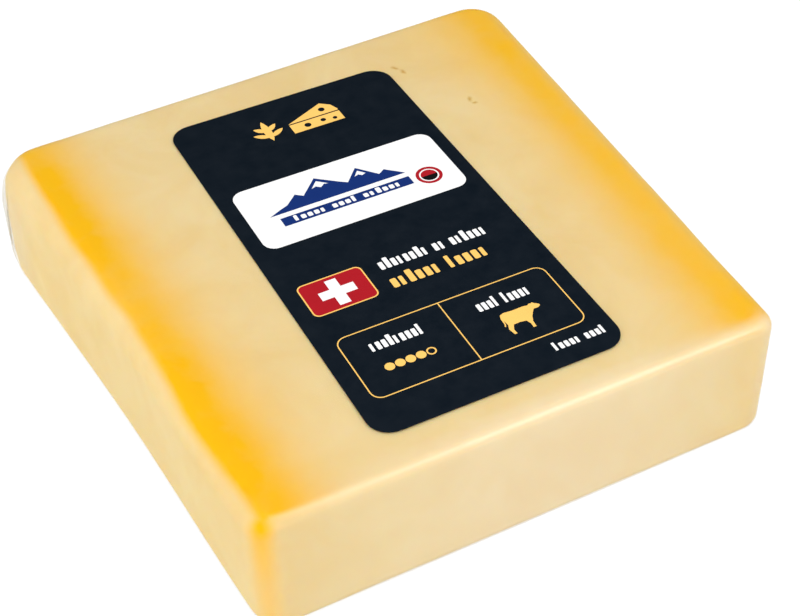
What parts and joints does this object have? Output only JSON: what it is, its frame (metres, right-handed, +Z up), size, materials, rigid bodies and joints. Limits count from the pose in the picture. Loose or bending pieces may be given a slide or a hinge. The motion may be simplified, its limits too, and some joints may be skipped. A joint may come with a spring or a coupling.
{
  "type": "packed cheese block",
  "caption": "Nearly square slab of semi-hard cheese with soft edges, in a close clear film, with a printed label on its top face.",
  "frame": {"origin": "middle of the block's plan box, on the plane it rests on", "axes": "+Z up out of the labelled top face, +Y from the narrower front edge to the wider rear edge, +X to the right seen from the front"},
  "size_m": [0.1002, 0.103, 0.0249],
  "materials": {
    "cheese": "smooth moist cut paste, slightly translucent",
    "pocket_film": "clear glossy shrunk film",
    "lid_film": "clear glossy flat film",
    "label": "printed, satin varnish"
  },
  "bodies": {
    "root": {"cheese_block": "cheese", "pocket_film": "pocket_film", "lid_film": "lid_film", "front_label": "label"}
  },
  "joints": []
}
